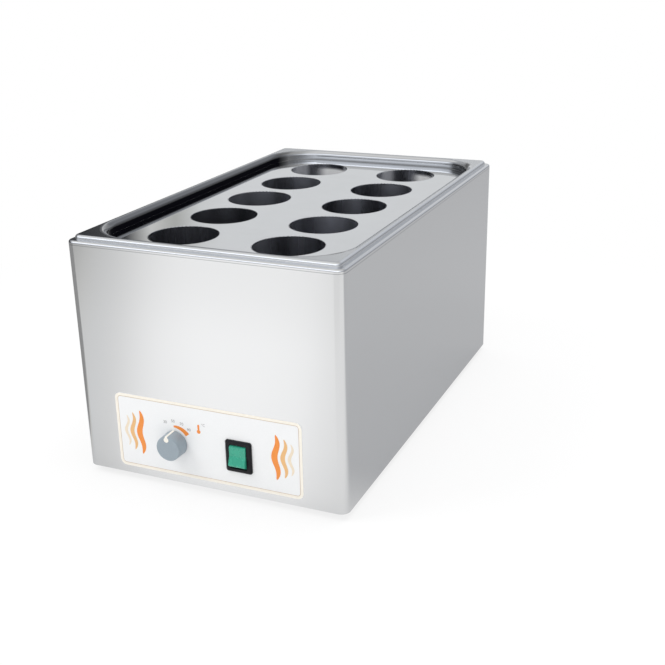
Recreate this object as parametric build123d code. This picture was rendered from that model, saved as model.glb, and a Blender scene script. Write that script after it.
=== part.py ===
from build123d import *
import math
import os

# Table-top warmer for bottles of topping: a stainless casing, a water tank hung in its top, a heater
# under the tank, and a lift-out tray with ten closed wells that the squeeze bottles stand in.
# Millimetres. X runs across the front, Y runs from front to back, Z is up from the worktop.

# ---------------------------------------------------------------- driving dimensions
# Casing
casing_width = 350.0
casing_depth = 580.0
casing_height = 290.0
casing_corner = 11.0
casing_sheet = 1.0
shoulder_radius = 3.0
shelf_width = 12.5
bottom_flange = 15.0
bottom_flange_corner = 4.0

# Base plate and what holds it
base_sheet = 1.0
base_inset = 5.0
base_corner = 6.0
base_screw_radius = 1.75
base_screw_head_radius = 3.5
base_screw_head = 2.0
base_screw_reach = 5.0
base_screw_edge = 10.0
base_screw_rows_y = 205.0
base_screw_rows_x = 85.0
vent_length = 44.0
vent_width = 4.0
vent_pitch = 13.0
vent_count = 8
vent_bank_y = 110.0
vent_bank_x = 62.0

# Feet
foot_height = 8.0
foot_top_radius = 13.0
foot_bottom_radius = 11.5
foot_edge = 37.0
foot_recess_radius = 5.5
foot_recess = 4.0
foot_screw_radius = 2.0
foot_screw_head_radius = 4.0
foot_screw_head = 2.6
foot_screw_reach = 6.0
foot_nut_across = 7.0
foot_nut_height = 3.2

# Tray and wells
tray_sheet = 1.0
tray_inset = 6.5
tray_corner = 8.0
tray_rim_height = 5.5
tray_rim_width = 12.5
tray_rim_edge = 4.0
tray_roll = 8.0
tray_recess = 13.0
tray_recess_corner = 60.0
tray_recess_fillet = 1.0
well_radius = 42.5
well_sheet = 0.8
well_depth = 150.0
well_collar = 4.5
well_floor_radius = 6.0
well_pitch_across = 139.0
well_pitch_along = 100.0
well_columns = 2
well_rows = 5

# Water tank
tank_sheet = 1.0
tank_corner = 50.0
tank_floor_radius = 14.0
tank_flange_corner = 6.0
water_below_wells = 10.0
stud_radius = 2.5
stud_across = 115.0
stud_along = 150.0
stud_nut_across = 8.0
stud_nut_height = 4.0
stud_tail = 3.0

# Heater stack under the tank
element_radius = 3.2
element_passes = 4
element_pitch = 50.0
element_bend = 22.0
element_end_gap = 85.0
element_front_gap = 44.0
element_pin_radius = 1.5
element_pin_length = 9.0
clamp_plate_sheet = 1.5
clamp_plate_width = 262.0
clamp_plate_end_gap = 75.0
insulation_height = 15.0
heater_cover_width = 282.0
heater_cover_end_gap = 65.0
heater_cover_sheet = 0.8
heater_cover_corner = 8.0

# Controls on the front, measured from the middle line and from the casing's lower edge
knob_offset = 45.0
knob_up = 52.5
switch_across = 40.5
switch_up = 50.3

# Thermostat
thermostat_width = 46.0
thermostat_height = 36.0
thermostat_length = 24.0
thermostat_edge = 2.0
bush_radius = 5.0
bush_reach = 4.0
bush_nut_across = 14.0
bush_nut_height = 2.4
shaft_radius = 3.0
shaft_in_body = 10.0
shaft_out = 14.0
bulb_radius = 3.0
bulb_length = 80.0
bulb_setback = 25.0
capillary_radius = 0.8
capillary_bend = 12.0
tab_width = 6.3
tab_sheet = 0.8
tab_length = 8.0
thermostat_tab_pitch = 16.0

# Knob
knob_base_radius = 16.0
knob_front_radius = 15.6
knob_length = 17.6
knob_edge = 1.6
knob_skin = 2.5
knob_boss_radius = 5.5
knob_boss_setback = 5.2
pointer_angle = 5.0
pointer_width = 3.2
pointer_depth = 0.6
pointer_proud = 0.25
pointer_dot_radius = 3.2
pointer_dot_at = 11.8

# Rocker switch
bezel_width = 34.0
bezel_height = 40.5
bezel_length = 3.2
bezel_corner = 3.0
bezel_slope = 1.6
barrel_width = 27.0
barrel_height = 34.0
barrel_length = 24.0
pocket_width = 21.8
pocket_length = 12.0
rocker_width = 21.0
rocker_reach = 15.0
rocker_valley = 8.5
rocker_back = 5.5
rocker_tilt = 10.0
rocker_skin = 2.0
rocker_end_skin = 3.0
rocker_pivot_behind = 3.5
pivot_radius = 1.5
pivot_length = 1.6
lamp_radius = 2.5
lamp_length = 9.0
lamp_dome = 2.0
switch_tab_across = 7.0
switch_tab_up = 8.0

# Front label
label_width = 248.0
label_height = 97.0
label_up = 9.5
label_offset = 2.0
label_corner = 8.0
label_film = 0.3

# Safety cut-out on the tank
cutout_across = 15.0
cutout_setback = 51.0
cutout_radius = 8.0
cutout_length = 9.0
cutout_strap_width = 38.0
cutout_strap_depth = 12.0
cutout_strap_sheet = 0.8
cutout_stud_radius = 1.5
cutout_stud_pitch = 28.0
cutout_stud_tail = 1.5
cutout_nut_across = 5.5
cutout_nut_height = 2.4
cutout_tab_pitch = 8.0

# Terminal block and earth stud on the base plate, cable gland in the back
block_side = 85.0
block_back = 75.0
block_width = 45.0
block_length = 20.0
block_height = 16.0
block_poles = 3
block_pitch = 15.0
block_screw_radius = 2.0
block_screw_head_radius = 3.6
block_bore_radius = 1.6
block_fixing_pitch = 52.0
block_fixing_radius = 1.5
block_fixing_head_radius = 3.0
block_fixing_head = 2.0
block_fixing_tail = 1.0
block_ear = 5.0
block_ear_length = 12.0
block_ear_height = 5.0
block_wire_up = 6.4
block_wire_depth = 6.0
block_well_depth = 4.0
block_screw_head = 2.4
block_screw_slot = 0.8
block_screw_tip_gap = 0.4
earth_side = 145.0
earth_stud_radius = 2.5
earth_stud_height = 14.0
earth_nut_across = 8.0
earth_nut_height = 4.0
earth_head_radius = 4.0
earth_head = 1.0
earth_ring_radius = 5.0
earth_ring_sheet = 1.0
earth_tongue = 4.0
earth_tongue_width = 4.0
gland_side = 75.0
gland_up = 45.0
gland_thread_radius = 10.0
gland_hex_across = 24.0
gland_hex_length = 5.2
gland_nut_length = 4.5
gland_cap_length = 13.5
gland_cap_lip = 2.0
gland_dome = 4.0
gland_bore_radius = 6.5
gland_thread_inside = 8.0
gland_thread_outside = 9.0
cord_hole_radius = 4.2

# Internal leads
lead_radius = 1.3
lead_bend = 7.0
lead_lift = 0.3
lead_in_block = 5.0
lead_straight_at_block = 10.0
lead_settle = 15.0
lead_live_setback = 40.0
lead_neutral_setback = 52.0
lead_over_thermostat = 17.0
lead_over_switch = 25.0
lead_under_cutout = 14.0
lead_beside_cutout = 12.0
lead_behind_tabs = 9.0
lead_past_pins = 16.0

# Fits and clearances
hole_clearance = 0.25
thread_clearance = 0.05
shaft_clearance = 0.05
pivot_clearance = 0.05
sheet_clearance = 0.5
knob_clearance = 0.6
element_clearance = 0.2
panel_clearance = 0.3

# Proportions of screw heads, and how far a cut runs past the face that it opens
head_edge_share = 0.35
cross_width_share = 0.35
cross_reach_share = 1.1
cross_depth_share = 0.5
overcut = 1.0
same = 0.001

# ---------------------------------------------------------------- levels and places
base_top = foot_height + base_sheet
casing_low = base_top
shelf_top = casing_low + casing_height
rim_top = shelf_top + tray_rim_height
plate_top = rim_top - tray_recess
plate_under = plate_top - tray_sheet
well_under = plate_under - well_depth
tank_floor = well_under - water_below_wells
tank_under = tank_floor - tank_sheet
element_top = tank_under - element_clearance
element_middle = element_top - element_radius
clamp_top = element_middle - element_radius - element_clearance
insulation_top = clamp_top - clamp_plate_sheet
cover_floor_top = insulation_top - insulation_height
cover_under = cover_floor_top - heater_cover_sheet

front_face = -casing_depth / 2
front_inside = front_face + casing_sheet
label_face = front_face - label_film
back_face = casing_depth / 2
back_inside = back_face - casing_sheet
knob_across = -knob_offset
knob_height = casing_low + knob_up
switch_height = casing_low + switch_up
gland_across = -casing_width / 2 + gland_side
gland_height = casing_low + gland_up
cutout_along = front_inside + cutout_setback
element_front = front_inside + element_front_gap
element_half_length = casing_depth / 2 - element_end_gap
clamp_plate_length = casing_depth - 2 * clamp_plate_end_gap
heater_cover_length = casing_depth - 2 * heater_cover_end_gap
block_across = -casing_width / 2 + block_side
block_along = casing_depth / 2 - block_back
earth_across = -casing_width / 2 + earth_side
earth_along = block_along
bulb_across = -element_pitch
bulb_front = -element_half_length + bulb_setback

tray_width = casing_width - 2 * tray_inset
tray_depth = casing_depth - 2 * tray_inset
recess_width = tray_width - 2 * tray_rim_width
recess_depth_y = tray_depth - 2 * tray_rim_width
shelf_opening_width = casing_width - 2 * shelf_width
shelf_opening_depth = casing_depth - 2 * shelf_width
tank_width = shelf_opening_width - 2 * sheet_clearance
tank_depth = shelf_opening_depth - 2 * sheet_clearance
shelf_corner = tank_corner + sheet_clearance
skirt_inside_width = tray_width - 2 * tray_sheet
skirt_inside_depth = tray_depth - 2 * tray_sheet

well_places = [
    ((column - (well_columns - 1) / 2) * well_pitch_across, (row - (well_rows - 1) / 2) * well_pitch_along)
    for row in range(well_rows)
    for column in range(well_columns)
]
foot_places = [
    (side * (casing_width / 2 - foot_edge), end * (casing_depth / 2 - foot_edge))
    for end in (-1, 1)
    for side in (-1, 1)
]
base_screw_places = [
    (side * (casing_width / 2 - base_screw_edge), y)
    for side in (-1, 1)
    for y in (-base_screw_rows_y, 0, base_screw_rows_y)
] + [
    (x, end * (casing_depth / 2 - base_screw_edge))
    for end in (-1, 1)
    for x in (-base_screw_rows_x, base_screw_rows_x)
]
stud_places = [(side * stud_across, end * stud_along) for end in (-1, 1) for side in (-1, 1)]
cutout_stud_places = [(cutout_across + side * cutout_stud_pitch / 2, cutout_along) for side in (-1, 1)]
block_fixing_places = [(block_across + side * block_fixing_pitch / 2, block_along) for side in (-1, 1)]
block_pole_places = [
    (block_across + (pole - (block_poles - 1) / 2) * block_pitch, block_along) for pole in range(block_poles)
]


# ---------------------------------------------------------------- shapes used again and again
def rounded_block(width, depth, corner, low, high):
    """Upright block with rounded vertical corners, centred on the casing."""
    outline = Pos(0, 0, low) * RectangleRounded(width, depth, corner)
    return extrude(outline, high - low)


def upright(x, y, radius, low, high):
    """Round bar along Z."""
    return Pos(x, y, (low + high) / 2) * Cylinder(radius, high - low)


def along_y(x, z, radius, near, far):
    """Round bar along Y, from the nearer to the further end."""
    return Pos(x, (near + far) / 2, z) * Rot(90, 0, 0) * Cylinder(radius, far - near)


def hexagon_up(x, y, across, low, high):
    """Hexagon bar along Z, sized across its flats."""
    outline = Pos(x, y, low) * RegularPolygon(across / 2, 6, major_radius=False)
    return extrude(outline, high - low)


def facing_front(x, y, z):
    """Upright drawing plane that faces forward, its own X across the front."""
    return Plane(origin=(x, y, z), x_dir=(1, 0, 0), z_dir=(0, -1, 0))


def hexagon_along_y(x, z, across, near, far):
    """Hexagon bar along Y, sized across its flats."""
    outline = facing_front(x, far, z) * RegularPolygon(across / 2, 6, major_radius=False)
    return extrude(outline, far - near)


def bar(x, y, z, length_x, length_y, length_z):
    """Plain block by its centre."""
    return Pos(x, y, z) * Box(length_x, length_y, length_z)


def round_path(radius, points, bend):
    """Round rod or lead through the points, with an equal bend at each inner point."""
    route = FilletPolyline(*points, radius=bend)
    end = Plane(origin=route @ 0, z_dir=route % 0)
    return sweep(end * Circle(radius), path=route)


def edges_at(shape, level):
    """The edges that lie wholly at one level."""
    return [
        edge
        for edge in shape.edges()
        if abs(edge.bounding_box().min.Z - level) < same and abs(edge.bounding_box().max.Z - level) < same
    ]


def edges_facing(shape, y):
    """The edges that lie wholly in one plane across Y."""
    return [
        edge
        for edge in shape.edges()
        if abs(edge.bounding_box().min.Y - y) < same and abs(edge.bounding_box().max.Y - y) < same
    ]


def edges_within(edges, width, depth):
    """Those edges whose middles lie within a rectangle centred on the casing."""
    return [
        edge
        for edge in edges
        if abs(edge.center().X) < width / 2 + same and abs(edge.center().Y) < depth / 2 + same
    ]


def cross_recess(x, y, radius, low, high):
    """Driver recess of a cross-head screw."""
    width = radius * cross_width_share
    reach = radius * cross_reach_share
    middle = (low + high) / 2
    return bar(x, y, middle, reach, width, high - low) + bar(x, y, middle, width, reach, high - low)


# ---------------------------------------------------------------- casing, base and feet
def outer_casing():
    """Folded and welded sheet: four walls, a shelf round the top opening and a flange under it."""
    outside = rounded_block(casing_width, casing_depth, casing_corner, casing_low, shelf_top)
    outside = fillet(edges_at(outside, shelf_top), shoulder_radius)
    inside = rounded_block(
        casing_width - 2 * casing_sheet,
        casing_depth - 2 * casing_sheet,
        casing_corner - casing_sheet,
        casing_low + casing_sheet,
        shelf_top - casing_sheet,
    )
    inside = fillet(edges_at(inside, shelf_top - casing_sheet), shoulder_radius - casing_sheet)
    shell = outside - inside
    shell -= rounded_block(
        shelf_opening_width,
        shelf_opening_depth,
        shelf_corner,
        shelf_top - casing_sheet - overcut,
        shelf_top + overcut,
    )
    shell -= rounded_block(
        casing_width - 2 * bottom_flange,
        casing_depth - 2 * bottom_flange,
        bottom_flange_corner,
        casing_low - overcut,
        casing_low + casing_sheet + overcut,
    )
    for x, y in base_screw_places:
        hole_radius = base_screw_radius + thread_clearance
        shell -= upright(x, y, hole_radius, casing_low - overcut, casing_low + casing_sheet + overcut)
    shell -= along_y(
        knob_across, knob_height, bush_radius + panel_clearance, front_face - overcut, front_inside + overcut
    )
    shell -= bar(
        switch_across,
        front_face,
        switch_height,
        barrel_width + 2 * panel_clearance,
        2 * (casing_sheet + overcut),
        barrel_height + 2 * panel_clearance,
    )
    hole_radius = gland_thread_radius + panel_clearance
    shell -= along_y(gland_across, gland_height, hole_radius, back_inside - overcut, back_face + overcut)
    return shell


def base_plate():
    """Flat plate screwed up against the casing's flange, with cooling slots."""
    plate = rounded_block(
        casing_width - 2 * base_inset, casing_depth - 2 * base_inset, base_corner, foot_height, base_top
    )
    below = foot_height - overcut
    above = base_top + overcut
    for x, y in base_screw_places:
        plate -= upright(x, y, base_screw_radius + hole_clearance, below, above)
    for x, y in foot_places:
        plate -= upright(x, y, foot_screw_radius + hole_clearance, below, above)
    for x, y in block_fixing_places:
        plate -= upright(x, y, block_fixing_radius + thread_clearance, below, above)
    plate -= upright(earth_across, earth_along, earth_stud_radius + thread_clearance, below, above)
    for side in (-1, 1):
        for end in (-1, 1):
            for index in range(vent_count):
                x = side * vent_bank_x
                y = end * vent_bank_y + (index - (vent_count - 1) / 2) * vent_pitch
                slot = Pos(x, y, below) * SlotOverall(vent_length, vent_width)
                plate -= extrude(slot, above - below)
    return plate


def base_screws():
    """Self-tapping pan-head screws from below, through the base plate into the flange."""
    screws = []
    for x, y in base_screw_places:
        head_low = foot_height - base_screw_head
        head = upright(x, y, base_screw_head_radius, head_low, foot_height)
        head = chamfer(edges_at(head, head_low), base_screw_head * head_edge_share)
        recess_top = head_low + base_screw_head * cross_depth_share
        head -= cross_recess(x, y, base_screw_head_radius, head_low - overcut, recess_top)
        screws.append(head + upright(x, y, base_screw_radius, foot_height, foot_height + base_screw_reach))
    return screws


def rubber_feet():
    """Tapered rubber feet with a recess for the screw head."""
    feet = []
    for x, y in foot_places:
        foot = Pos(x, y, foot_height / 2) * Cone(foot_bottom_radius, foot_top_radius, foot_height)
        foot -= upright(x, y, foot_recess_radius, -overcut, foot_recess)
        foot -= upright(x, y, foot_screw_radius + hole_clearance, 0, foot_height + overcut)
        feet.append(foot)
    return feet


def foot_screws():
    """Pan-head screws, head up in the foot, through the base plate."""
    screws = []
    for x, y in foot_places:
        head_low = foot_recess - foot_screw_head
        head = upright(x, y, foot_screw_head_radius, head_low, foot_recess)
        head = chamfer(edges_at(head, head_low), foot_screw_head * head_edge_share)
        recess_top = head_low + foot_screw_head * cross_depth_share
        head -= cross_recess(x, y, foot_screw_head_radius, head_low - overcut, recess_top)
        screws.append(head + upright(x, y, foot_screw_radius, foot_recess, base_top + foot_screw_reach))
    return screws


def foot_nuts():
    """Nuts on the foot screws, inside the casing."""
    nuts = []
    for x, y in foot_places:
        nut = hexagon_up(x, y, foot_nut_across, base_top, base_top + foot_nut_height)
        hole_top = base_top + foot_nut_height + overcut
        nuts.append(nut - upright(x, y, foot_screw_radius + thread_clearance, base_top - overcut, hole_top))
    return nuts


# ---------------------------------------------------------------- water tank
def water_tank():
    """Deep-drawn tank hung in the casing by its flange, which is welded to the shelf."""
    tank = rounded_block(tank_width, tank_depth, tank_corner, tank_under, shelf_top)
    tank = fillet(edges_at(tank, tank_under), tank_floor_radius + tank_sheet)
    tank += rounded_block(
        skirt_inside_width - 2 * sheet_clearance,
        skirt_inside_depth - 2 * sheet_clearance,
        tank_flange_corner,
        shelf_top,
        shelf_top + tank_sheet,
    )
    inside = rounded_block(
        tank_width - 2 * tank_sheet,
        tank_depth - 2 * tank_sheet,
        tank_corner - tank_sheet,
        tank_floor,
        shelf_top + tank_sheet + overcut,
    )
    inside = fillet(edges_at(inside, tank_floor), tank_floor_radius)
    return tank - inside


def tank_studs():
    """Studs welded to the tank's underside, for the heater and for the cut-out."""
    tail = cover_under - stud_nut_height - stud_tail
    studs = [upright(x, y, stud_radius, tail, tank_under) for x, y in stud_places]
    strap_under = tank_under - cutout_strap_sheet
    tail = strap_under - cutout_nut_height - cutout_stud_tail
    studs += [upright(x, y, cutout_stud_radius, tail, tank_under) for x, y in cutout_stud_places]
    return studs


def stud_nuts():
    """Nuts that hold the heater's cover up, and the two small ones of the cut-out's strap."""
    nuts = []
    for x, y in stud_places:
        nut = hexagon_up(x, y, stud_nut_across, cover_under - stud_nut_height, cover_under)
        hole_low = cover_under - stud_nut_height - overcut
        hole = upright(x, y, stud_radius + thread_clearance, hole_low, tank_under)
        nuts.append(nut - hole)
    strap_under = tank_under - cutout_strap_sheet
    for x, y in cutout_stud_places:
        nut = hexagon_up(x, y, cutout_nut_across, strap_under - cutout_nut_height, strap_under)
        hole_low = strap_under - cutout_nut_height - overcut
        nuts.append(nut - upright(x, y, cutout_stud_radius + thread_clearance, hole_low, tank_under))
    return nuts


# ---------------------------------------------------------------- heater
def element_ends():
    """The two places where the heating tube stops, in front of the stack."""
    half_width = (element_passes - 1) / 2 * element_pitch
    return [(-half_width, element_front), (half_width, element_front)]


def heating_element():
    """Tubular element bent to and fro under the tank, with both ends at the front."""
    (first_x, front), (last_x, _) = element_ends()
    points = [(first_x, front, element_middle)]
    for index in range(element_passes):
        x = first_x + index * element_pitch
        turn_y = element_half_length if index % 2 == 0 else -element_half_length
        points.append((x, turn_y, element_middle))
        if index < element_passes - 1:
            points.append((x + element_pitch, turn_y, element_middle))
    points[-1] = (last_x, front, element_middle)
    return round_path(element_radius, points, element_bend)


def element_pins():
    """Bare connection pins of the heating tube."""
    return [
        along_y(x, element_middle, element_pin_radius, front - element_pin_length, front)
        for x, front in element_ends()
    ]


def clamp_plate():
    """Flat steel plate that presses the heating tube against the tank."""
    plate = rounded_block(
        clamp_plate_width, clamp_plate_length, heater_cover_corner, clamp_top - clamp_plate_sheet, clamp_top
    )
    for x, y in stud_places:
        plate -= upright(x, y, stud_radius + hole_clearance, insulation_top - overcut, clamp_top + overcut)
    return plate


def insulation_pad():
    """Mineral wool pad in the heater's cover."""
    pad = rounded_block(
        heater_cover_width - 2 * heater_cover_sheet - 2 * sheet_clearance,
        heater_cover_length - 2 * heater_cover_sheet - 2 * sheet_clearance,
        heater_cover_corner - heater_cover_sheet - sheet_clearance,
        cover_floor_top,
        insulation_top,
    )
    for x, y in stud_places:
        hole_radius = stud_radius + hole_clearance
        pad -= upright(x, y, hole_radius, cover_floor_top - overcut, insulation_top + overcut)
    return pad


def heater_cover():
    """Shallow pan below the insulation, held by nuts on the tank's studs."""
    outside = rounded_block(
        heater_cover_width, heater_cover_length, heater_cover_corner, cover_under, insulation_top
    )
    inside = rounded_block(
        heater_cover_width - 2 * heater_cover_sheet,
        heater_cover_length - 2 * heater_cover_sheet,
        heater_cover_corner - heater_cover_sheet,
        cover_floor_top,
        insulation_top + overcut,
    )
    cover = outside - inside
    for x, y in stud_places:
        cover -= upright(x, y, stud_radius + hole_clearance, cover_under - overcut, cover_floor_top + overcut)
    return cover


# ---------------------------------------------------------------- thermostat and knob
thermostat_back = front_inside + thermostat_length


def thermostat_body():
    """Capillary thermostat held in the front by its threaded bush."""
    body = bar(
        knob_across,
        front_inside + thermostat_length / 2,
        knob_height,
        thermostat_width,
        thermostat_length,
        thermostat_height,
    )
    body = chamfer(body.edges().filter_by(Axis.Y), thermostat_edge)
    bush_end = label_face - bush_reach
    body += along_y(knob_across, knob_height, bush_radius, bush_end, front_inside)
    for side in (-1, 1):
        x = knob_across + side * thermostat_tab_pitch / 2
        middle = thermostat_back + tab_length / 2
        body += bar(x, middle, knob_height, tab_sheet, tab_length, tab_width)
    hole_radius = shaft_radius + shaft_clearance
    hole_end = front_inside + shaft_in_body + shaft_clearance
    body -= along_y(knob_across, knob_height, hole_radius, bush_end - overcut, hole_end)
    return body


def thermostat_nut():
    """Thin nut that clamps the thermostat's bush to the front, under the knob."""
    near = label_face - bush_nut_height
    nut = hexagon_along_y(knob_across, knob_height, bush_nut_across, near, label_face)
    hole_radius = bush_radius + thread_clearance
    return nut - along_y(knob_across, knob_height, hole_radius, near - overcut, label_face + overcut)


def thermostat_shaft():
    """Control shaft, turned by the knob."""
    inner_end = front_inside + shaft_in_body
    outer_end = label_face - shaft_out
    return along_y(knob_across, knob_height, shaft_radius, outer_end, inner_end)


def thermostat_bulb():
    """Sensing bulb between the heating tube and the tank, with its capillary down to the thermostat."""
    rear = bulb_front + bulb_length
    bulb = along_y(bulb_across, element_middle, bulb_radius, bulb_front, rear)
    down_y = front_inside + thermostat_length / 2
    body_top = knob_height + thermostat_height / 2
    route = [
        (bulb_across, bulb_front, element_middle),
        (bulb_across, down_y, element_middle),
        (bulb_across, down_y, body_top),
    ]
    return bulb + round_path(capillary_radius, route, capillary_bend)


knob_base = label_face - knob_clearance
knob_front = knob_base - knob_length


def knob_cone(grow, near, far):
    """The knob's tapered outside between two distances from the front, grown by a little."""
    slope = (knob_base_radius - knob_front_radius) / knob_length
    near_radius = knob_front_radius + slope * (near - knob_front) + grow
    far_radius = knob_front_radius + slope * (far - knob_front) + grow
    cone = Cone(near_radius, far_radius, far - near)
    return Pos(knob_across, (near + far) / 2, knob_height) * Rot(-90, 0, 0) * cone


def pointer_dot_middle():
    """Where the dot at the end of the pointer line sits on the knob's front."""
    angle = math.radians(pointer_angle)
    return (
        knob_across - pointer_dot_at * math.sin(angle),
        knob_height + pointer_dot_at * math.cos(angle),
    )


def knob_outside(grow):
    """The knob's tapered outside with its rounded front edge, grown by a little."""
    front = knob_front - grow
    slope = (knob_base_radius - knob_front_radius) / knob_length
    front_radius = knob_front_radius + grow - slope * grow
    cone = Cone(front_radius, knob_base_radius + grow, knob_base - front)
    outside = Pos(knob_across, (front + knob_base) / 2, knob_height) * Rot(-90, 0, 0) * cone
    return fillet(edges_facing(outside, front), knob_edge + grow)


def pointer_inlay(proud):
    """Cream line along the knob's side that ends in a round dot on its front."""
    reach = knob_base_radius + overcut
    line = Pos(0, 0, (pointer_dot_at + reach) / 2) * Box(
        pointer_width, 2 * (knob_length + overcut), reach - pointer_dot_at
    )
    line = Pos(knob_across, knob_base, knob_height) * (Rot(0, -pointer_angle, 0) * line)
    dot_x, dot_z = pointer_dot_middle()
    dot = along_y(dot_x, dot_z, pointer_dot_radius, knob_front - overcut, knob_front + pointer_depth)
    core = knob_outside(-pointer_depth)
    return ((line + dot) & knob_outside(proud)) - core


def control_knob():
    """Hollow moulded knob with a boss on the shaft and a groove for the pointer."""
    hollow_floor = knob_front + knob_skin
    hollow_radius = knob_front_radius - knob_skin
    hollow = along_y(knob_across, knob_height, hollow_radius, hollow_floor, knob_base + overcut)
    boss_end = label_face - knob_boss_setback
    boss = along_y(knob_across, knob_height, knob_boss_radius, hollow_floor, boss_end)
    shaft_hole = along_y(knob_across, knob_height, shaft_radius, label_face - shaft_out, boss_end + overcut)
    return (knob_outside(0) - hollow + boss) - shaft_hole - pointer_inlay(0)


def knob_pointer():
    """The cream inlay, a little proud of the knob."""
    return pointer_inlay(pointer_proud)


# ---------------------------------------------------------------- rocker switch
switch_pivot = label_face + rocker_pivot_behind
pocket_height = 2 * (rocker_reach + panel_clearance)
pocket_floor = switch_pivot + pocket_length
barrel_back = label_face + barrel_length


def switch_housing():
    """Moulded housing: bezel on the label, barrel through the front, four tabs behind."""
    outline = RectangleRounded(bezel_width, bezel_height, bezel_corner)
    bezel = extrude(facing_front(switch_across, label_face, switch_height) * outline, bezel_length)
    front = label_face - bezel_length
    bezel = chamfer(edges_facing(bezel, front), bezel_slope)
    barrel_middle = (label_face + barrel_back) / 2
    housing = bezel + bar(
        switch_across, barrel_middle, switch_height, barrel_width, barrel_length, barrel_height
    )
    mouth = front - overcut
    housing -= bar(
        switch_across,
        (mouth + pocket_floor) / 2,
        switch_height,
        pocket_width,
        pocket_floor - mouth,
        pocket_height,
    )
    pivot_reach = pocket_width + 2 * pivot_length + 2 * pivot_clearance
    housing -= Pos(switch_across, switch_pivot, switch_height) * Rot(0, 90, 0) * Cylinder(
        pivot_radius + pivot_clearance, pivot_reach
    )
    for side in (-1, 1):
        for end in (-1, 1):
            x = switch_across + side * switch_tab_across
            z = switch_height + end * switch_tab_up
            housing += bar(x, barrel_back + tab_length / 2, z, tab_sheet, tab_length, tab_width)
    return housing


def switch_rocker():
    """Hollow translucent rocker with a shallow valley in its face, pressed in at the top."""
    slope = math.tan(math.radians(rocker_tilt))
    inside_root = (rocker_valley * slope) ** 2 - (1 + slope**2) * (rocker_valley**2 - rocker_reach**2)
    end_up = (-rocker_valley * slope + math.sqrt(inside_root)) / (1 + slope**2)
    end_out = rocker_valley + end_up * slope
    back_up = math.sqrt(rocker_reach**2 - rocker_back**2)
    top = ThreePointArc((-end_out, end_up), (0, rocker_reach), (rocker_back, back_up))
    bottom = ThreePointArc((rocker_back, -back_up), (0, -rocker_reach), (-end_out, -end_up))
    outline = [
        Line((-rocker_valley, 0), (-end_out, end_up)),
        top,
        Line((rocker_back, back_up), (rocker_back, -back_up)),
        bottom,
        Line((-end_out, -end_up), (-rocker_valley, 0)),
    ]
    profile = Plane.YZ * make_face(outline)
    rocker = extrude(profile, rocker_width / 2, both=True)
    hollow_front = -(rocker_valley - rocker_skin)
    hollow_back = rocker_back + overcut
    rocker -= bar(
        0,
        (hollow_front + hollow_back) / 2,
        0,
        rocker_width - 2 * rocker_skin,
        hollow_back - hollow_front,
        2 * (back_up - rocker_end_skin),
    )
    axle_reach = (pocket_width - rocker_width) / 2 + pivot_length
    for side in (-1, 1):
        middle = side * (rocker_width / 2 + axle_reach / 2)
        rocker += Pos(middle, 0, 0) * Rot(0, 90, 0) * Cylinder(pivot_radius, axle_reach)
    return Pos(switch_across, switch_pivot, switch_height) * (Rot(-rocker_tilt, 0, 0) * rocker)


def switch_lamp():
    """Small glow lamp on the floor of the switch's pocket."""
    front = pocket_floor - lamp_length
    lamp = along_y(switch_across, switch_height, lamp_radius, front, pocket_floor)
    return fillet(edges_facing(lamp, front), lamp_dome)


# ---------------------------------------------------------------- label
def front_label():
    """Printed film stuck to the casing's front."""
    middle_height = casing_low + label_up + label_height / 2
    outline = RectangleRounded(label_width, label_height, label_corner)
    film = extrude(facing_front(-label_offset, front_face, middle_height) * outline, label_film)
    hole_radius = bush_radius + panel_clearance
    film -= along_y(knob_across, knob_height, hole_radius, label_face - overcut, front_face + overcut)
    film -= bar(
        switch_across,
        front_face,
        switch_height,
        barrel_width + 2 * panel_clearance,
        2 * (label_film + overcut),
        barrel_height + 2 * panel_clearance,
    )
    return film


# ---------------------------------------------------------------- tray and wells
def bottle_tray():
    """Pressed tray: rim and skirt that stand on the shelf, rolled edge, and a sunk plate with holes."""
    tray = rounded_block(tray_width, tray_depth, tray_corner, shelf_top, rim_top)
    tray = fillet(edges_at(tray, rim_top), tray_rim_edge)
    plug_width = recess_width + 2 * tray_sheet
    plug_depth = recess_depth_y + 2 * tray_sheet
    plug_corner = tray_recess_corner + tray_sheet
    plug = rounded_block(plug_width, plug_depth, plug_corner, plate_under, shelf_top + tray_sheet)
    plug = fillet(edges_at(plug, plate_under), tray_recess_fillet + tray_sheet)
    cavity_corner = tray_corner - tray_sheet
    cavity_low = min(shelf_top, rim_top - tray_roll) - overcut
    cavity = rounded_block(
        skirt_inside_width, skirt_inside_depth, cavity_corner, cavity_low, rim_top - tray_sheet
    )
    cavity = fillet(edges_at(cavity, rim_top - tray_sheet), tray_rim_edge - tray_sheet)
    cavity -= rounded_block(plug_width, plug_depth, plug_corner, cavity_low - overcut, rim_top)
    inner_edges = edges_within(edges_at(cavity, rim_top - tray_sheet), plug_width, plug_depth)
    cavity = fillet(inner_edges, tray_roll - tray_sheet)
    tray = (tray + plug) - cavity
    pocket = rounded_block(recess_width, recess_depth_y, tray_recess_corner, plate_top, rim_top + overcut)
    pocket = fillet(edges_at(pocket, plate_top), tray_recess_fillet)
    tray -= pocket
    mouth = edges_within(edges_at(tray, rim_top), recess_width, recess_depth_y)
    tray = fillet(mouth, tray_roll)
    for x, y in well_places:
        tray -= upright(x, y, well_radius, plate_under - overcut, plate_top + overcut)
    return tray


def bottle_well(x, y):
    """Drawn cup with a collar that is welded under the tray's plate."""
    outside_radius = well_radius + well_sheet
    cup = upright(x, y, outside_radius, well_under, plate_under)
    cup = fillet(edges_at(cup, well_under), well_floor_radius + well_sheet)
    cup += upright(x, y, outside_radius + well_collar, plate_under - well_sheet, plate_under)
    inside = upright(x, y, well_radius, well_under + well_sheet, plate_under + overcut)
    inside = fillet(edges_at(inside, well_under + well_sheet), well_floor_radius)
    return cup - inside


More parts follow.
